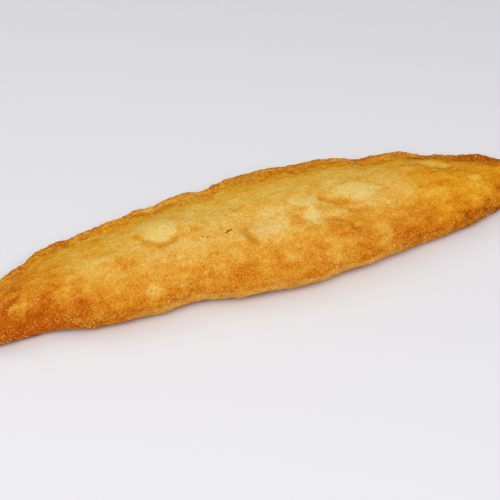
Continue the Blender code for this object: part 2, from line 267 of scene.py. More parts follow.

# Creases of the upper skin: half-width, depth, how much darker the painted shade in them makes the skin, and
# the points they run through
CREASES = (
    # near side of the round blister
    (0.0028, 0.0003, 0.44, (
        (-0.0635, -0.004), (-0.0597, -0.0088), (-0.055, -0.012), (-0.049, -0.0122), (-0.0435, -0.0095),
    )),
    # left of the flattened middle
    (0.0036, 0.0004, 0.52, ((-0.0128, -0.014), (-0.0118, -0.0225), (-0.008, -0.03))),
    # round the swelling in front of the pucker
    (0.0024, 0.0008, 0.46, (
        (0.029, -0.0219), (0.0372, -0.0225), (0.0415, -0.0269), (0.0439, -0.0318), (0.0461, -0.037),
    )),
    # the pucker's hollow and its far end
    (0.0028, 0.0007, 0.42, ((0.03, -0.0045), (0.04, -0.0094), (0.046, -0.0114), (0.052, -0.015))),
    (0.003, 0.0005, 0.34, ((0.043, -0.0182), (0.059, -0.0226))),
    # foot of the ridge left of the pucker
    (0.0022, 0.00035, 0.3, ((0.0145, -0.015), (0.0197, -0.0192), (0.0242, -0.0236))),
    # near side of the long blister on the seam
    (0.0019, 0.0009, 0.7, (
        (0.0985, 0.0078), (0.103, 0.005), (0.1085, 0.0032), (0.114, 0.003), (0.12, 0.005),
    )),
)

# Scorched flecks that are seen one by one: X, Y, half-length, half-width and turn in degrees
NAMED_FLECKS = (
    (-0.0193, -0.0152, 0.0019, 0.00048, -8),
    (-0.0206, -0.0163, 0.0015, 0.00048, 8),
    (-0.0375, -0.0086, 0.0006, 0.00035, 30),
    (-0.0334, -0.0152, 0.0006, 0.0003, -20),
    (-0.033, -0.0267, 0.0004, 0.0003, 60),
    (-0.0621, -0.0055, 0.0005, 0.0003, 0),
    (-0.0415, 0.0087, 0.0004, 0.0003, 0),
    (-0.0501, -0.0215, 0.0005, 0.00032, 45),
)

# Pale floury specks that are seen one by one: X, Y and radius
NAMED_CRUMBS = (
    (-0.0512, -0.0359, 0.00085),
    (-0.0505, -0.0366, 0.00055),
    (-0.0661, 0.026, 0.0005),
    (0.0283, -0.0438, 0.00075),
    (0.0275, -0.0432, 0.0005),
    (0.0255, -0.035, 0.00055),
)


def swell(distance):
    """1 at distance 0, falling smoothly to 0 at distance 1 and beyond."""
    return np.maximum(0.0, 1 - distance * distance) ** 2


def ease(value):
    """0 up to 0, 1 from 1 on, and a smooth step between."""
    value = np.clip(value, 0.0, 1.0)
    return value * value * (3 - 2 * value)


def past(value, start, width):
    """0 up to the start, 1 from a width further on, and a smooth step between."""
    return ease((value - start) / width)


def unevenness(points, spacing, offset):
    """Smooth noise between about -1 and 1 at each point, which the offset varies."""
    return np.array([noise.noise(Vector(point) / spacing + Vector((offset, 0, 0))) for point in points])


def new_object(name, data):
    """Puts a mesh, lamp or camera into the scene."""
    thing = bpy.data.objects.new(name, data)
    bpy.context.scene.collection.objects.link(thing)
    return thing


def packed_skin():
    """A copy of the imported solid's mesh, merged and joined into four-sided faces."""
    bm = bmesh.new()
    bm.from_mesh(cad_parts[NODE].data)
    bmesh.ops.remove_doubles(bm, verts=bm.verts, dist=1e-6)
    bmesh.ops.join_triangles(bm, faces=bm.faces, angle_face_threshold=0.7, angle_shape_threshold=0.7)
    mesh = bpy.data.meshes.new("packed skin")
    bm.to_mesh(mesh)
    bm.free()
    return mesh


def even_skin(spacing):
    """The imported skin, smoothed and remeshed with evenly spaced points."""
    piece = new_object("even skin", packed_skin())
    rounded = piece.modifiers.new("rounded", "SUBSURF")
    rounded.levels = rounded.render_levels = 2
    remesh = piece.modifiers.new("even", "REMESH")
    remesh.mode = "VOXEL"
    remesh.voxel_size = spacing
    smooth = piece.modifiers.new("smooth", "SMOOTH")
    smooth.factor = 0.5
    smooth.iterations = 6
    evaluated = piece.evaluated_get(bpy.context.evaluated_depsgraph_get())
    mesh = bpy.data.meshes.new_from_object(evaluated)
    bpy.data.objects.remove(piece)
    if len(mesh.polygons) == 0:
        raise RuntimeError("the skin could not be remeshed")
    return mesh


def mesh_array(mesh, name):
    values = np.empty(len(mesh.vertices) * 3)
    getattr(mesh, name).foreach_get("co" if name == "vertices" else "vector", values)
    return values.reshape(-1, 3)


class Skin:
    """The crust's points and normals before its relief, and where each lies from the fold to the seam."""

    BIN = 0.004  # length of the slices in which the edges are found
    UPWARD = (-0.1, 0.5)  # upward part of the normal where the upper skin starts, and how far on it is whole
    EDGE_WOBBLE, EDGE_WIDTH = 0.3, 0.42  # of the smooth blisters, as shares of their size
    CREASE_END, CREASE_WOBBLE = 0.22, 0.7  # share of a crease that fades at each end, and how uneven it is
    WOBBLE = (0.004, 17.0)  # spacing and offset
    SEAM_WIDTH, SEAM_SHARE = 0.0105, 0.25  # the second is the most of the whole width
    SEAM_CREASE_WIDTH = 0.0055
    BUMP_ROUNDNESS = 1.5

    def __init__(self, mesh):
        self.points = mesh_array(mesh, "vertices")
        self.normals = mesh_array(mesh, "vertex_normals")
        self.upward = past(self.normals[:, 2], *self.UPWARD)
        self.across, self.seam_crease = self.places_across()
        self.wobble = unevenness(self.points, *self.WOBBLE)
        self.tree = KDTree(len(self.points))
        for index, point in enumerate(self.points):
            self.tree.insert(point, index)
        self.tree.balance()

    def places_across(self):
        """0 on the fold's foremost line to 1 on the seam's edge, and 1 in the crease beside the seam."""
        x, y = self.points[:, 0], self.points[:, 1]
        start = x.min()
        bins = ((x - start) / self.BIN).astype(int)
        fold, seam = np.full(bins.max() + 1, np.inf), np.full(bins.max() + 1, -np.inf)
        np.minimum.at(fold, bins, y)
        np.maximum.at(seam, bins, y)
        middles = start + (np.arange(len(fold)) + 0.5) * self.BIN
        fold, seam = np.interp(x, middles, fold), np.interp(x, middles, seam)
        across = np.clip((y - fold) / (seam - fold), 0.0, 1.0)
        crease = seam - np.minimum(self.SEAM_WIDTH, self.SEAM_SHARE * (seam - fold))
        return across, swell((y - crease) / self.SEAM_CREASE_WIDTH) * self.upward

    def oval(self, x, y, half_length, half_width, turn):
        """Distance of each point from a place, seen from above: 1 on the edge of a turned oval round it."""
        cosine, sine = math.cos(math.radians(turn)), math.sin(math.radians(turn))
        along = cosine * (self.points[:, 0] - x) + sine * (self.points[:, 1] - y)
        across = cosine * (self.points[:, 1] - y) - sine * (self.points[:, 0] - x)
        return np.hypot(along / half_length, across / half_width)

    def patch(self, *place):
        """1 in the middle of an oval patch of the upper skin, falling to 0 at its edge."""
        return swell(self.oval(*place)) * self.upward

    def blister(self, *place):
        """Like patch, but level to near its edge, which is uneven."""
        distance = self.oval(*place) + self.EDGE_WOBBLE * self.wobble
        return ease((1 + self.EDGE_WIDTH / 2 - distance) / self.EDGE_WIDTH) * self.upward

    def crease(self, half_width, route):
        """1 along a line over the upper skin, falling to 0 beside it and at its two ends."""
        route = np.array(route)
        lengths = np.linalg.norm(np.diff(route, axis=0), axis=1)
        run = np.concatenate([[0.0], np.cumsum(lengths)]) / lengths.sum()
        nearest = np.full(len(self.points), np.inf)
        place = np.zeros(len(self.points))
        for index, start in enumerate(route[:-1]):
            step = route[index + 1] - start
            share = np.clip((self.points[:, :2] - start) @ step / (step @ step), 0, 1)
            distance = np.linalg.norm(self.points[:, :2] - start - share[:, None] * step, axis=1)
            closer = distance < nearest
            nearest[closer] = distance[closer]
            place[closer] = (run[index] + share * (run[index + 1] - run[index]))[closer]
        fading = ease(np.minimum(place, 1 - place) / self.CREASE_END)
        return swell(nearest / half_width) * fading * (1 + self.CREASE_WOBBLE * self.wobble) * self.upward

    def bumps(self, rng, count, radii, tops, density):
        """Overlapping round bumps at random places of the skin, more where density is high."""
        heights = np.zeros(len(self.points))
        chosen = rng.choice(len(self.points), size=count, p=density / density.sum())
        for index in chosen:
            reach, top = rng.uniform(*radii), rng.uniform(*tops)
            for _, other, distance in self.tree.find_range(self.points[index], reach):
                height = top * (1 - (distance / reach) ** 2) ** self.BUMP_ROUNDNESS
                heights[other] = max(heights[other], height)
        return heights


class Zone:
    """Where each zone of the crust starts, and how far on from there it is whole."""

    # Across, from 0 on the fold's foremost line to 1 on the seam's edge. The fold's zones run the other way:
    # they are whole up to the start, and gone that far on.
    FOLD, ROUGH_FOLD, BUBBLY_FOLD, CRUMBLY_FOLD = (0.05, 0.24), (0.0, 0.35), (0.0, 0.3), (0.02, 0.1)
    SEAM, ROUGH_SEAM, BUBBLY_SEAM, CRUMBLY_SEAM = (0.79, 0.125), (0.8, 0.15), (0.8, 0.12), (0.8, 0.1)
    SEAM_COLOURS, SEAM_MOTTLES = (0.25, 0.5), (0.84, 0.07)
    SEAM_EDGE, SEAM_LINE = (0.965, 0.02), (0.972, 0.02)
    # Along X, in metres from the middle
    ENDS, ROUGH_ENDS, WIDER_SEAM = (0.08, 0.06), (0.09, 0.06), (-0.03, 0.06)
    VERY_TIPS, CRUMBLY_TIPS, UNSHADED_TIPS = (0.143, 0.02), (0.12, 0.03), (0.11, 0.03)
    LEFT_COLOURS, RIGHT_COLOURS = (0.1, 0.05), (0.065, 0.04)
    # Down, as a part of the normal
    RIM_FACING, RIM_BELOW = (-0.22, 0.35), (0.6, 0.3)
    CRUMBLY_FACING, RESTING_FACING = (-0.55, 0.4), (0.0, 0.5)


def edge_roughness(skin):
    """1 in the skin's middle and more towards the fold, the seam and the two tips."""
    fold_more, seam_more, tips_more = 2.2, 2.6, 1.6
    fold = 1 - past(skin.across, *Zone.ROUGH_FOLD)
    seam = past(skin.across, *Zone.ROUGH_SEAM)
    tips = past(np.abs(skin.points[:, 0]), *Zone.ROUGH_ENDS)
    return 1 + fold_more * fold + seam_more * seam + tips_more * tips


def streaks(points, spacing, offset):
    """Unevenness that is drawn out to about twice its length along X."""
    return unevenness(points * (0.45, 1.0, 1.0), spacing, offset)


def grainy_rim_and_bounce_light(skin):
    """1 along the lowest part of the fold that faces the front, and 0 elsewhere: where pale grains and
    painted bounce light from below pale the skin.
    """
    middle, half_length, fading = -0.006, 0.083, 0.03
    downward = -skin.normals[:, 2]
    facing = past(downward, *Zone.RIM_FACING) * (1 - past(downward, *Zone.RIM_BELOW))
    along = ease((half_length - np.abs(skin.points[:, 0] - middle)) / fading)
    return (1 - past(skin.across, *Zone.FOLD)) * facing * along


class Browned:
    """How browned the plain skin is, and how much more or less the zones and patterns are."""

    PLAIN = 0.26
    FOLD, SEAM, SEAM_EDGE, UNDERNEATH = 0.38, 0.32, 0.3, 0.14
    LEFT, RIGHT, VERY_TIPS = 0.44, 0.26, 0.22
    # Paler on the lower rim, with painted bounce light from below, and along the crown, partly with painted
    # light from above
    RIM, CROWN = -0.32, -0.1
    CROWN_PLACE, CROWN_REACH = 0.64, 0.14  # across
    WIDER_SEAM = 0.035  # across, in the right half
    STREAKS = ((0.08, 0.018, 3.0), (0.12, 0.0075, 7.0))  # amount, spacing and offset
    SHORT_STREAKS = (0.0035, 11.0)  # spacing and offset
    SHORT, SHORT_AT_EDGES = 0.14, 0.06  # amounts of the short streaks
    # A crease's painted shade goes partly into the browning and partly into the crease colour
    CREASE_SHARE = 0.6  # of how much darker a crease is: the rest comes from its shade


def browning(skin):
    """How browned each point is, from 0 to 1, with painted shade in the creases and hollows and painted
    light on the lower rim and the crown.
    """
    x = skin.points[:, 0]
    fold = 1 - past(skin.across, *Zone.FOLD)
    seam = past(skin.across + Browned.WIDER_SEAM * past(x, *Zone.WIDER_SEAM), *Zone.SEAM)
    left, right = past(-x, *Zone.ENDS), past(x, *Zone.ENDS)
    # Paler along the crown: partly paler skin, partly painted light from above
    lit_crown = swell((skin.across - Browned.CROWN_PLACE) / Browned.CROWN_REACH) * (1 - left) * (1 - right)
    browned = Browned.PLAIN + Browned.FOLD * fold + Browned.SEAM * seam
    browned += Browned.LEFT * left + Browned.RIGHT * right
    browned += Browned.VERY_TIPS * past(np.abs(x), *Zone.VERY_TIPS)
    browned += Browned.UNDERNEATH * (1 - skin.upward)
    # painted bounce light paling the lower rim, and painted light partly paling the crown
    browned += Browned.RIM * grainy_rim_and_bounce_light(skin) + Browned.CROWN * lit_crown
    browned += Browned.SEAM_EDGE * past(skin.across, *Zone.SEAM_EDGE)
    for amount, spacing, offset in Browned.STREAKS:
        browned += amount * streaks(skin.points, spacing, offset)
    short = Browned.SHORT + Browned.SHORT_AT_EDGES * (fold + seam)
    browned += short * streaks(skin.points, *Browned.SHORT_STREAKS)
    for *place, amount in BROWNED_PATCHES:
        browned += amount * skin.patch(*place)
    for *place, amount in SMOOTH_BLISTERS:
        browned += amount * skin.blister(*place)
    # painted shade in the creases, laid into the browning
    for half_width, _, darker, route in CREASES:
        browned += Browned.CREASE_SHARE * darker * skin.crease(half_width, route)
    return np.clip(browned, 0.0, 1.0)


def shading(skin):
    """How far the crease colour covers each point, from 0 to 1: painted shade in the creases, and a darker
    line and mottles on the seam.
    """
    line, mottled, spacing, offset, lift = 0.55, 0.75, 0.0032, 29.0, 0.15
    edge = skin.upward * (1 - past(np.abs(skin.points[:, 0]), *Zone.UNSHADED_TIPS))
    mottles = np.maximum(streaks(skin.points, spacing, offset) + lift, 0.0)
    shaded = line * edge * past(skin.across, *Zone.SEAM_LINE)
    shaded += mottled * edge * mottles * past(skin.across, *Zone.SEAM_MOTTLES)
    # painted shade in the creases
    for half_width, _, darker, route in CREASES:
        shaded = np.maximum(shaded, darker * skin.crease(half_width, route))
    return np.clip(shaded, 0.0, 1.0)


def seam_colouring(skin):
    """How far the seam side's colours cover each point: nowhere on the left tip, wholly on the right one."""
    x = skin.points[:, 0]
    seam = past(skin.across, *Zone.SEAM_COLOURS) * (1 - past(-x, *Zone.LEFT_COLOURS))
    return np.maximum(seam, past(x, *Zone.RIGHT_COLOURS))


def set_attribute(mesh, name, values):
    attribute = mesh.attributes.new(name, "FLOAT", "POINT")
    attribute.data.foreach_set("value", values.astype(np.float32))


def get_attribute(mesh, name):
    values = np.empty(len(mesh.vertices), np.float32)
    mesh.attributes[name].data.foreach_get("value", values)
    return values


def add_piece(name, mesh, material):
    """Links a finished mesh as a piece that rides on the part's one body."""
    mesh.name = name
    mesh.materials.clear()
    mesh.materials.append(material)
    mesh.shade_smooth()
    piece = new_object(name, mesh)
    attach(piece, BODY)
    return piece


class Value:
    """A socket in a material. Arithmetic on it adds Math nodes."""

    def __init__(self, finish, socket):
        self.finish = finish
        self.socket = socket

    def combine(self, operation, first, second):
        return self.finish.add("ShaderNodeMath", {"operation": operation}, {0: first, 1: second})

    def __add__(self, other):
        return self.combine("ADD", self, other)

    def __radd__(self, other):
        return self.combine("ADD", other, self)

    def __sub__(self, other):
        return self.combine("SUBTRACT", self, other)

    def __rsub__(self, other):
        return self.combine("SUBTRACT", other, self)

    def __mul__(self, other):
        return self.combine("MULTIPLY", self, other)

    def __rmul__(self, other):
        return self.combine("MULTIPLY", other, self)


class Finish:
    """One material, built node by node round its Principled BSDF."""

    def __init__(self, name, constants):
        self.material = bpy.data.materials.new(name)
        self.material.use_nodes = True
        self.tree = self.material.node_tree
        self.shader = self.tree.nodes["Principled BSDF"]
        for socket, value in constants.items():
            self.shader.inputs[socket].default_value = value

    def add(self, kind, settings=None, sockets=None, output=0):
        """Adds a node, makes its settings, then fills its sockets, and gives one of its outputs."""
        node = self.tree.nodes.new(kind)
        for key, value in (settings or {}).items():
            if key == "stops":
                self.set_stops(node.color_ramp, value)
            else:
                setattr(node, key, value)
        for key, value in (sockets or {}).items():
            self.fill(node.inputs[key], value)
        return Value(self, node.outputs[output])

    def set_stops(self, ramp, stops):
        while len(ramp.elements) < len(stops):
            ramp.elements.new(1.0)
        for element, (position, shade) in zip(ramp.elements, stops):
            element.position = position
            element.color = (*shade, 1.0)

    def fill(self, socket, value):
        if isinstance(value, Value):
            self.tree.links.new(value.socket, socket)
        else:
            socket.default_value = value

    def feed(self, name, value):
        self.fill(self.shader.inputs[name], value)

    def attribute(self, name):
        return self.add("ShaderNodeAttribute", {"attribute_name": name}, output=2)

    def place(self):
        return self.add("ShaderNodeTexCoord", output=3)

    def cloud(self, size, detail=3.0, roughness=0.55):
        """Soft noise from 0 to 1 whose lumps are about this large."""
        sockets = {"Vector": self.place(), "Scale": 1 / size, "Detail": detail, "Roughness": roughness}
        return self.add("ShaderNodeTexNoise", None, sockets)

    def dots(self, spacing, inner, outer):
        """1 in round dots about this far apart, and 0 between them. Their radii are shares of that."""
        distance = self.add("ShaderNodeTexVoronoi", None, {"Vector": self.place(), "Scale": 1 / spacing})
        return self.between(distance, inner, outer, 1.0, 0.0)

    def lumps(self, cloud, low, high):
        """1 in the lumps of a cloud and 0 between them."""
        return self.between(self.cloud(*cloud), low, high)

    def between(self, value, low, high, to_low=0.0, to_high=1.0):
        """Value carried smoothly from one range to another and held at its ends."""
        settings = {"interpolation_type": "SMOOTHSTEP"}
        sockets = {"Value": value, "From Min": low, "From Max": high, "To Min": to_low, "To Max": to_high}
        return self.add("ShaderNodeMapRange", settings, sockets)

    def mix(self, share, first, second):
        return self.add("ShaderNodeMix", {"data_type": "RGBA"}, {0: share, 6: first, 7: second}, output=2)

    def ramp(self, value, stops):
        return self.add("ShaderNodeValToRGB", {"stops": stops}, {0: value})

    def bump(self, height, distance, strength=1.0):
        sockets = {"Height": height, "Distance": distance, "Strength": strength}
        self.feed("Normal", self.add("ShaderNodeBump", None, sockets))


def opaque(shade):
    return (*shade, 1.0)


class Pattern:
    """Patterns in the fried skin. A cloud is its size, detail and roughness."""

    MOTTLE, GRAIN, FINE = (0.003, 4.0, 0.6), (0.0011, 3.0, 0.7), (0.00055, 2.0, 0.6)
    BROWNED = (0.6, 0.7), (1.05, 0.6), (0.45, 0.6)  # by these three, and how much more in the band
    SEAM_BAND = (0.78, 0.9)  # across
    # pale specks, partly painted glints
    SPECKS, SPECKED, SPECK_SHARE = (0.0016, 0.14, 0.3), ((0.004,), 0.42, 0.6), 0.42
    PINHOLES, PINHOLED, PINHOLE_SHARE = (0.0016, 0.15, 0.29), ((0.0035,), 0.4, 0.5), 0.7
    PINHOLED_SKIN = (0.1, 0.26)  # browning: wholly up to the first, and not from the second on
    # pale grains on the lower rim, which also paint its bounce light from below
    RIM_CLUSTERS = ((0.0045, 2.0, 0.5), 0.36, 0.6)
    RIM_GRAINS, RIM_SHARE = ((0.0008, 2.0, 0.6), 0.48, 0.6), 0.75
    TOPS = (0.45, 0.95)  # shares of the tallest bubble's height
    SMOOTH_TO_ROUGH, SMOOTHER, ROUGHER = (0.3, 0.7), 0.07, 0.09
    GLOSSY_GRAINS = (0.5, 0.68)
    PORES = ((0.0005, 2.0, 0.6), 0.5), ((0.0013, 2.0, 0.5), 0.9)  # clouds and their shares of the height
    SPECK_HEIGHT, PORE_DEPTH, PORE_STRENGTH = 0.5, 0.0003, 0.9


def crust_finish(name, roughness, gloss, pale_and_glinting_tops):
    """Fried skin: browned by its own attributes, mottled, specked with pale specks that are partly painted
    glints, and glossy on its finest grains.
    """
    colours = bpy.context.scene.langos_colours
    finish = Finish(name, {"Coat Roughness": 0.24, "Specular IOR Level": 0.0})
    clouds = [finish.cloud(*cloud) for cloud in (Pattern.MOTTLE, Pattern.GRAIN, Pattern.FINE)]
    mottle, grain, _ = clouds
    band = finish.between(finish.attribute("across"), *Pattern.SEAM_BAND)
    browned = finish.attribute("browning")
    for cloud, (everywhere, in_band) in zip(clouds, Pattern.BROWNED):
        browned = browned + (cloud - 0.5) * (everywhere + band * in_band)
    tones = ("pale", "golden", "amber", "brown", "dark")
    sides = []
    for side in ("fold", "seam"):
        stops = [(index / 4, getattr(colours, f"{side}_{tone}")) for index, tone in enumerate(tones)]
        sides.append(finish.ramp(browned, stops))
    skin = finish.mix(finish.attribute("seam_side"), *sides)
    # pale specks and pale bubble tops, partly painted glints
    specks_and_glints = finish.dots(*Pattern.SPECKS) * finish.lumps(*Pattern.SPECKED) * Pattern.SPECK_SHARE
    tops = finish.between(finish.attribute("lift"), *Pattern.TOPS) * pale_and_glinting_tops
    # pale grains on the lower rim, partly painted bounce light
    grains = finish.lumps(*Pattern.RIM_CLUSTERS) * finish.lumps(*Pattern.RIM_GRAINS) * Pattern.RIM_SHARE
    pale = finish.between(finish.attribute("browning"), *Pattern.PINHOLED_SKIN, 1.0, 0.0)
    pinholes = finish.dots(*Pattern.PINHOLES) * finish.lumps(*Pattern.PINHOLED) * Pattern.PINHOLE_SHARE
    layers = (
        (grains * finish.attribute("rim"), colours.grain),
        (specks_and_glints, colours.speck_and_glint),
        (tops, colours.speck_and_glint),
        (pinholes * pale, colours.pinhole),
        # painted shade in the creases, and the seam's darker line and mottles
        (finish.attribute("shade"), colours.crease),
    )
    for share, shade in layers:
        skin = finish.mix(share, skin, opaque(shade))
    finish.feed("Base Color", skin)
    limits = (roughness - Pattern.SMOOTHER, roughness + Pattern.ROUGHER)
    finish.feed("Roughness", finish.between(mottle, *Pattern.SMOOTH_TO_ROUGH, *limits))
    finish.feed("Coat Weight", finish.between(grain, *Pattern.GLOSSY_GRAINS) * gloss)
    height = specks_and_glints * Pattern.SPECK_HEIGHT
    for cloud, amount in Pattern.PORES:
        height = height + finish.cloud(*cloud) * amount
    finish.bump(height, Pattern.PORE_DEPTH, Pattern.PORE_STRENGTH)
    return finish.material


def scrap_finish(name, on_pale, on_dark, roughness, grain_size, variation):
    """A small hard scrap, coloured by how dark the skin under it is, lighter and darker by turns."""
    finish = Finish(name, {"Roughness": roughness, "Specular IOR Level": 0.05})
    grain = finish.cloud(grain_size)
    palest, darkest = 0.35, 0.9
    dark_skin = finish.between(finish.attribute("browning"), palest, darkest)
    tones = []
    for strength in (1 - variation, 1 + variation):
        shades = [opaque(min(1.0, channel * strength) for channel in shade) for shade in (on_pale, on_dark)]
        tones.append(finish.mix(dark_skin, *shades))
    finish.feed("Base Color", finish.mix(grain, *tones))
    finish.bump(grain, 0.0001)
    return finish.material


class LANGOS_OT_make_crust(bpy.types.Operator):
    """Make the browned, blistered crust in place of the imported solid"""

    bl_idname = "langos.make_crust"
    bl_label = "Crust"

    SEED = 7
    BLISTER_RADII, LOWEST_BLISTER = (0.0014, 0.0042), 0.25
    PEBBLE_RADII, LOWEST_PEBBLE, PEBBLE_EVENNESS = (0.0009, 0.0018), 0.2, 0.6
    WAVES = ((0.00035, 0.006, 1.0), (0.00016, 0.0022, 5.0))  # height, spacing and offset
    SEAM_CREASE_FILLING = 0.001
    RESTING_DEPTH = 0.0025  # the relief fades out this close to the surface that the langos rests on

    def execute(self, context):
        sizes = context.scene.langos_sizes
        mesh = even_skin(sizes.skin_spacing)
        skin = Skin(mesh)
        relief, lift = self.relief(skin, sizes)
        points = skin.points + skin.normals * relief[:, None]
        points[:, 2] = np.maximum(points[:, 2], 0.0)
        mesh.vertices.foreach_set("co", points.ravel())
        mesh.update()
        set_attribute(mesh, "browning", browning(skin))
        set_attribute(mesh, "shade", shading(skin))
        # the lower rim's pale grains and painted bounce light
        set_attribute(mesh, "rim", grainy_rim_and_bounce_light(skin))
        set_attribute(mesh, "seam_side", seam_colouring(skin))
        set_attribute(mesh, "across", skin.across)
        # the fine bubbles' height, which pales their tops, partly as painted glints
        set_attribute(mesh, "lift", lift)
        finish = crust_finish("fried skin", roughness=0.46, gloss=0.26, pale_and_glinting_tops=0.2)
        crust = add_piece("crust", mesh, finish)
        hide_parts(NODE)
        return {"FINISHED"}

    def relief(self, skin, sizes):
        """Height above the plain skin at each point, and the fine bubbles' as a share of the tallest."""
        rng = np.random.default_rng(self.SEED)
        rough = edge_roughness(skin)
        tops = (self.LOWEST_BLISTER * sizes.blister_rise, sizes.blister_rise)
        blisters = skin.bumps(rng, sizes.blister_count, self.BLISTER_RADII, tops, rough)
        tops = (self.LOWEST_PEBBLE * sizes.pebble_rise, sizes.pebble_rise)
        pebbles = skin.bumps(rng, sizes.pebble_count, self.PEBBLE_RADII, tops, rough**self.PEBBLE_EVENNESS)
        relief = blisters + pebbles + self.SEAM_CREASE_FILLING * skin.seam_crease
        for height, spacing, offset in self.WAVES:
            relief += height * unevenness(skin.points, spacing, offset)
        for half_width, depth, _, route in CREASES:
            relief -= depth * skin.crease(half_width, route)
        resting = past(-skin.normals[:, 2], *Zone.RESTING_FACING)
        resting *= 1 - ease(skin.points[:, 2] / self.RESTING_DEPTH)
        return relief * (1 - resting), pebbles / sizes.pebble_rise


class Scatter:
    """Places on the crust for many small things, and one joined mesh of them."""

    COPIED = ("browning", "seam_side", "shade", "rim")  # the crust's attributes that the copies take over
    NEARNESS = 30  # how much more a metre to the side counts than a metre of height

    def __init__(self, seed):
        self.crust = bpy.data.objects["crust"].data
        self.points = mesh_array(self.crust, "vertices")
        self.normals = mesh_array(self.crust, "vertex_normals")
        self.across = get_attribute(self.crust, "across")
        self.rng = np.random.default_rng(seed)
        self.placed = []

    def choose(self, count, density):
        """Indices of random points of the crust, more where density is high."""
        return self.rng.choice(len(self.points), size=count, p=density / density.sum())

    def nearest_above(self, x, y):
        """Index of the topmost point of the crust near a place seen from above."""
        aside = np.hypot(self.points[:, 0] - x, self.points[:, 1] - y)
        return int(np.argmax(self.points[:, 2] - aside * self.NEARNESS))

    def higher(self, height):
        return self.points[:, 2] > height

    def random_turn(self):
        return self.rng.uniform(0, math.tau)

    def put(self, index, size, turn, sink=0.0):
        """Notes a copy at a point of the crust: its half-sizes along the skin, across it and up."""
        normal = Vector(self.normals[index])
        along = Vector((math.cos(turn), math.sin(turn), 0.0))
        along = (along - normal * along.dot(normal)).normalized()
        turned = Matrix((along, normal.cross(along), normal)).transposed()
        basis = np.array(turned) * np.array(size)
        self.placed.append((basis, self.points[index] - np.array(normal) * sink, index))

    def joined(self, templates):
        """One mesh of all the copies noted, which take the templates in turn."""
        corners, faces, sources = [], [], []
        start = 0
        for number, (basis, place, index) in enumerate(self.placed):
            shape, triangles = templates[number % len(templates)]
            corners.append(shape @ basis.T + place)
            faces.append(triangles + start)
            sources.append(np.full(len(shape), index))
            start += len(shape)
        mesh = bpy.data.meshes.new("scatter")
        mesh.from_pydata(np.concatenate(corners).tolist(), [], np.concatenate(faces).tolist())
        sources = np.concatenate(sources)
        for name in self.COPIED:
            set_attribute(mesh, name, get_attribute(self.crust, name)[sources])
        # a random paleness for each copy's top, partly painted glints
        lifts = self.rng.uniform(0, 1, len(self.placed))
        set_attribute(mesh, "lift", np.repeat(lifts, [len(part) for part in corners]))
        return mesh


def bead(segments, rings):
    """A round bead of radius 1 as arrays of corners and triangles."""
    bm = bmesh.new()
    bmesh.ops.create_uvsphere(bm, u_segments=segments, v_segments=rings, radius=1.0)
    return arrays_of(bm)


def lump(rng):
    """An uneven lump of radius about 1 as arrays of corners and triangles."""
    nearest, farthest = 0.7, 1.25
    bm = bmesh.new()
    bmesh.ops.create_icosphere(bm, subdivisions=1, radius=1.0)
    for vert in bm.verts:
        vert.co *= rng.uniform(nearest, farthest)
    return arrays_of(bm)


def arrays_of(bm):
    bmesh.ops.triangulate(bm, faces=bm.faces)
    bm.verts.index_update()
    corners = np.array([vert.co for vert in bm.verts])
    triangles = np.array([[vert.index for vert in face.verts] for face in bm.faces])
    bm.free()
    return corners, triangles


class LANGOS_OT_make_bubbles(bpy.types.Operator):
    """Make the hard little bubbles that hot oil raises on the skin"""

    bl_idname = "langos.make_bubbles"
    bl_label = "Hard bubbles"

    SEED = 19
    MIDDLE, FOLD, SEAM, ENDS = 0.25, 2.4, 2.4, 0.8  # how dense they are there
    LOWEST = 0.001
    RADII, SMALLNESS = (0.5, 1.0), 1.6
    STRETCH, HEIGHT, SUNK = (0.8, 1.25), (0.45, 0.8), 0.3

    def execute(self, context):
        sizes = context.scene.langos_sizes
        scatter = Scatter(self.SEED)
        rng = scatter.rng
        density = self.MIDDLE + self.FOLD * (1 - past(scatter.across, *Zone.BUBBLY_FOLD))
        density += self.SEAM * past(scatter.across, *Zone.BUBBLY_SEAM)
        density += self.ENDS * past(np.abs(scatter.points[:, 0]), *Zone.ROUGH_ENDS)
        density *= scatter.higher(self.LOWEST)
        for index in scatter.choose(sizes.bubble_count, density):
            radius = sizes.bubble_radius * rng.uniform(*self.RADII) ** self.SMALLNESS
            stretch = rng.uniform(*self.STRETCH)
            height = radius * rng.uniform(*self.HEIGHT)
            scatter.put(index, (radius * stretch, radius, height), scatter.random_turn(), height * self.SUNK)
        mesh = scatter.joined([bead(segments=6, rings=3)])
        set_attribute(mesh, "across", np.zeros(len(mesh.vertices)))
        finish = crust_finish("bubble skin", roughness=0.5, gloss=0.04, pale_and_glinting_tops=0.26)
        add_piece("hard_bubbles", mesh, finish)
        return {"FINISHED"}


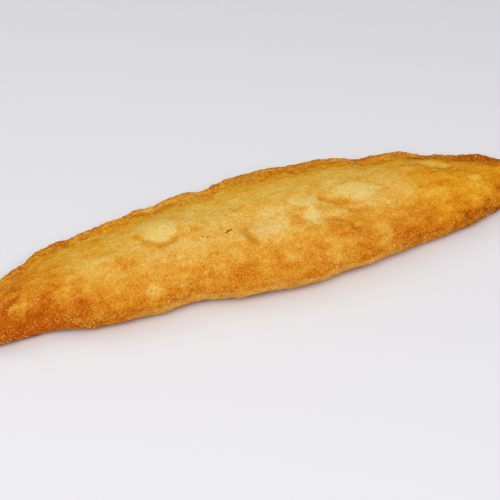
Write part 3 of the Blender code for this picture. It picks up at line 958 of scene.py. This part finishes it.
class LANGOS_OT_make_crumbs(bpy.types.Operator):
    """Make the pale crumbs and floury specks caught on the skin, most of them along the edges"""

    bl_idname = "langos.make_crumbs"
    bl_label = "Crumbs"

    SEED = 23
    ANYWHERE, LOW_FRONT, BACK, TIPS = 0.012, 2.2, 0.5, 0.42  # how dense they are there
    LOWEST, LOWEST_IN_FRONT, LOWEST_ON_TIPS = 0.001, 0.003, 0.002
    CLUMPS, BETWEEN_CLUMPS = (0.007, 41.0), 0.15  # spacing and offset, and how dense they are between
    CLUMP_MIDDLE, CLUMP_CONTRAST = 0.5, 1.6
    SMALLEST, SPREAD, SMALLNESS = 0.32, 0.78, 2
    STRETCH, HEIGHT, SUNK = (0.8, 1.4), (0.5, 0.9), 0.15
    NAMED_SHAPE, NAMED_SUNK = np.array((1.3, 1.0, 0.6)), 0.1
    SHAPES = 9

    def execute(self, context):
        sizes, colours = context.scene.langos_sizes, context.scene.langos_colours
        scatter = Scatter(self.SEED)
        rng = scatter.rng
        for index in scatter.choose(sizes.crumb_count, self.density(scatter)):
            share = self.SMALLEST + self.SPREAD * rng.uniform(0, 1) ** self.SMALLNESS
            radius = sizes.crumb_radius * share
            size = (radius * rng.uniform(*self.STRETCH), radius, radius * rng.uniform(*self.HEIGHT))
            scatter.put(index, size, scatter.random_turn(), radius * self.SUNK)
        for x, y, radius in NAMED_CRUMBS:
            index = scatter.nearest_above(x, y)
            scatter.put(index, radius * self.NAMED_SHAPE, scatter.random_turn(), radius * self.NAMED_SUNK)
        mesh = scatter.joined([lump(rng) for _ in range(self.SHAPES)])
        shades = (colours.crumb, colours.toasted_crumb)
        finish = scrap_finish("crumb", *shades, roughness=0.62, grain_size=0.0009, variation=0.22)
        add_piece("crumbs", mesh, finish)
        return {"FINISHED"}

    def density(self, scatter):
        """High low on the fold's front, on the seam and on the tips, in clumps."""
        downward = -scatter.normals[:, 2]
        front = (1 - past(scatter.across, *Zone.CRUMBLY_FOLD)) * past(downward, *Zone.CRUMBLY_FACING)
        front *= scatter.higher(self.LOWEST_IN_FRONT)
        back = past(scatter.across, *Zone.CRUMBLY_SEAM) * (downward < 0.0)
        tips = past(np.abs(scatter.points[:, 0]), *Zone.CRUMBLY_TIPS) * scatter.higher(self.LOWEST_ON_TIPS)
        density = self.ANYWHERE + self.LOW_FRONT * front + self.BACK * back + self.TIPS * tips
        clumps = self.CLUMP_MIDDLE + self.CLUMP_CONTRAST * unevenness(scatter.points, *self.CLUMPS)
        return density * scatter.higher(self.LOWEST) * (self.BETWEEN_CLUMPS + np.clip(clumps, 0.0, 1.0))


class LANGOS_OT_make_flecks(bpy.types.Operator):
    """Make the scorched flecks in the upper skin"""

    bl_idname = "langos.make_flecks"
    bl_label = "Dark flecks"

    SEED = 31
    NAMED_HEIGHT, HEIGHT = 0.00022, 0.00018
    UPWARD, LOWEST = 0.5, 0.01
    HALF_WIDTHS, STRETCH = (0.00018, 0.00038), (1.0, 2.2)
    SHAPES = 5

    def execute(self, context):
        scatter = Scatter(self.SEED)
        rng = scatter.rng
        for x, y, half_length, half_width, turn in NAMED_FLECKS:
            size = (half_length, half_width, self.NAMED_HEIGHT)
            scatter.put(scatter.nearest_above(x, y), size, math.radians(turn))
        density = np.maximum(scatter.normals[:, 2] - self.UPWARD, 0.0) * scatter.higher(self.LOWEST)
        for index in scatter.choose(context.scene.langos_sizes.fleck_count, density):
            half_width = rng.uniform(*self.HALF_WIDTHS)
            size = (half_width * rng.uniform(*self.STRETCH), half_width, self.HEIGHT)
            scatter.put(index, size, scatter.random_turn())
        mesh = scatter.joined([lump(rng) for _ in range(self.SHAPES)])
        shade = context.scene.langos_colours.fleck
        finish = scrap_finish("scorched", shade, shade, roughness=0.55, grain_size=0.0006, variation=0.3)
        add_piece("dark_flecks", mesh, finish)
        return {"FINISHED"}


class LANGOS_OT_set_stage(bpy.types.Operator):
    """Set up the pale floor, the soft lamps and the camera"""

    bl_idname = "langos.set_stage"
    bl_label = "Stage"

    TARGET = Vector((-0.0046, -0.0049, 0.0))  # the point of the floor in the middle of the picture
    ELEVATION, AZIMUTH = 43.0, -19.7
    DISTANCE = 0.6264
    LENS, SENSOR = 85.0, 36.0
    FLOOR_SIZE, FLOOR_DROP = 8.0, 0.0002
    LAMPS = (  # name, place and size
        ("key", (-0.6, -0.6, 0.9), 0.6),
        ("fill", (0.6, -0.6, 0.9), 0.8),
        ("top", (0.00, 0.00, 1.1), 0.9),
        ("back", (-0.6, 0.6, 0.9), 0.7),
    )
    SKY = (0.96, 0.98, 1.0)

    def execute(self, context):
        stage = context.scene.langos_stage
        self.make_floor(stage)
        for name, place, size in self.LAMPS:
            self.make_lamp(name, place, size, getattr(stage, f"{name}_power"))
        self.make_camera(context.scene)
        self.make_sky(context.scene, stage.sky)
        context.scene.view_settings.view_transform = "Standard"
        return {"FINISHED"}

    def make_floor(self, stage):
        bm = bmesh.new()
        bmesh.ops.create_grid(bm, x_segments=1, y_segments=1, size=self.FLOOR_SIZE / 2)
        mesh = bpy.data.meshes.new("floor")
        bm.to_mesh(mesh)
        bm.free()
        finish = Finish("floor", {"Base Color": opaque(stage.floor), "Roughness": 0.6})
        mesh.materials.append(finish.material)
        floor = new_object("floor", mesh)
        floor.location.z = -self.FLOOR_DROP

    def make_lamp(self, name, place, size, power):
        lamp = bpy.data.lights.new(name, "AREA")
        lamp.size = size
        lamp.energy = power
        holder = new_object(name, lamp)
        holder.location = place
        holder.rotation_euler = (self.TARGET - Vector(place)).to_track_quat("-Z", "Y").to_euler()

    def make_camera(self, scene):
        camera = bpy.data.cameras.new("camera")
        camera.lens = self.LENS
        camera.sensor_width = self.SENSOR
        holder = new_object("camera", camera)
        elevation, azimuth = math.radians(self.ELEVATION), math.radians(self.AZIMUTH)
        away = Matrix.Rotation(azimuth, 3, "Z") @ Vector((0.0, -math.cos(elevation), math.sin(elevation)))
        holder.location = self.TARGET + away * self.DISTANCE
        holder.rotation_euler = (math.pi / 2 - elevation, 0.0, azimuth)
        scene.camera = holder

    def make_sky(self, scene, strength):
        world = bpy.data.worlds.new("sky")
        world.use_nodes = True
        background = world.node_tree.nodes["Background"]
        background.inputs["Color"].default_value = opaque(self.SKY)
        background.inputs["Strength"].default_value = strength
        scene.world = world


class LANGOS_PT_panel(bpy.types.Panel):
    """Sizes, colours and steps of the langos"""

    bl_idname = "LANGOS_PT_panel"
    bl_label = "Langos"
    bl_space_type = "VIEW_3D"
    bl_region_type = "UI"
    bl_category = "Langos"

    def draw(self, context):
        for group in (context.scene.langos_sizes, context.scene.langos_colours, context.scene.langos_stage):
            box = self.layout.box()
            for name in type(group).__annotations__:
                box.prop(group, name)
        for operator in OPERATORS:
            self.layout.operator(operator.bl_idname)


GROUPS = {"langos_sizes": LangosSizes, "langos_colours": LangosColours, "langos_stage": LangosStage}
OPERATORS = (
    LANGOS_OT_make_crust,
    LANGOS_OT_make_bubbles,
    LANGOS_OT_make_crumbs,
    LANGOS_OT_make_flecks,
    LANGOS_OT_set_stage,
)


def register():
    for cls in (*GROUPS.values(), *OPERATORS, LANGOS_PT_panel):
        bpy.utils.register_class(cls)
    for name, group in GROUPS.items():
        setattr(bpy.types.Scene, name, PointerProperty(type=group))


def unregister():
    for name in GROUPS:
        delattr(bpy.types.Scene, name)
    for cls in (LANGOS_PT_panel, *reversed(OPERATORS), *GROUPS.values()):
        bpy.utils.unregister_class(cls)


def main():
    register()
    bpy.ops.langos.make_crust()
    bpy.ops.langos.make_bubbles()
    bpy.ops.langos.make_crumbs()
    bpy.ops.langos.make_flecks()
    bpy.ops.langos.set_stage()


if __name__ == "__main__":
    main()
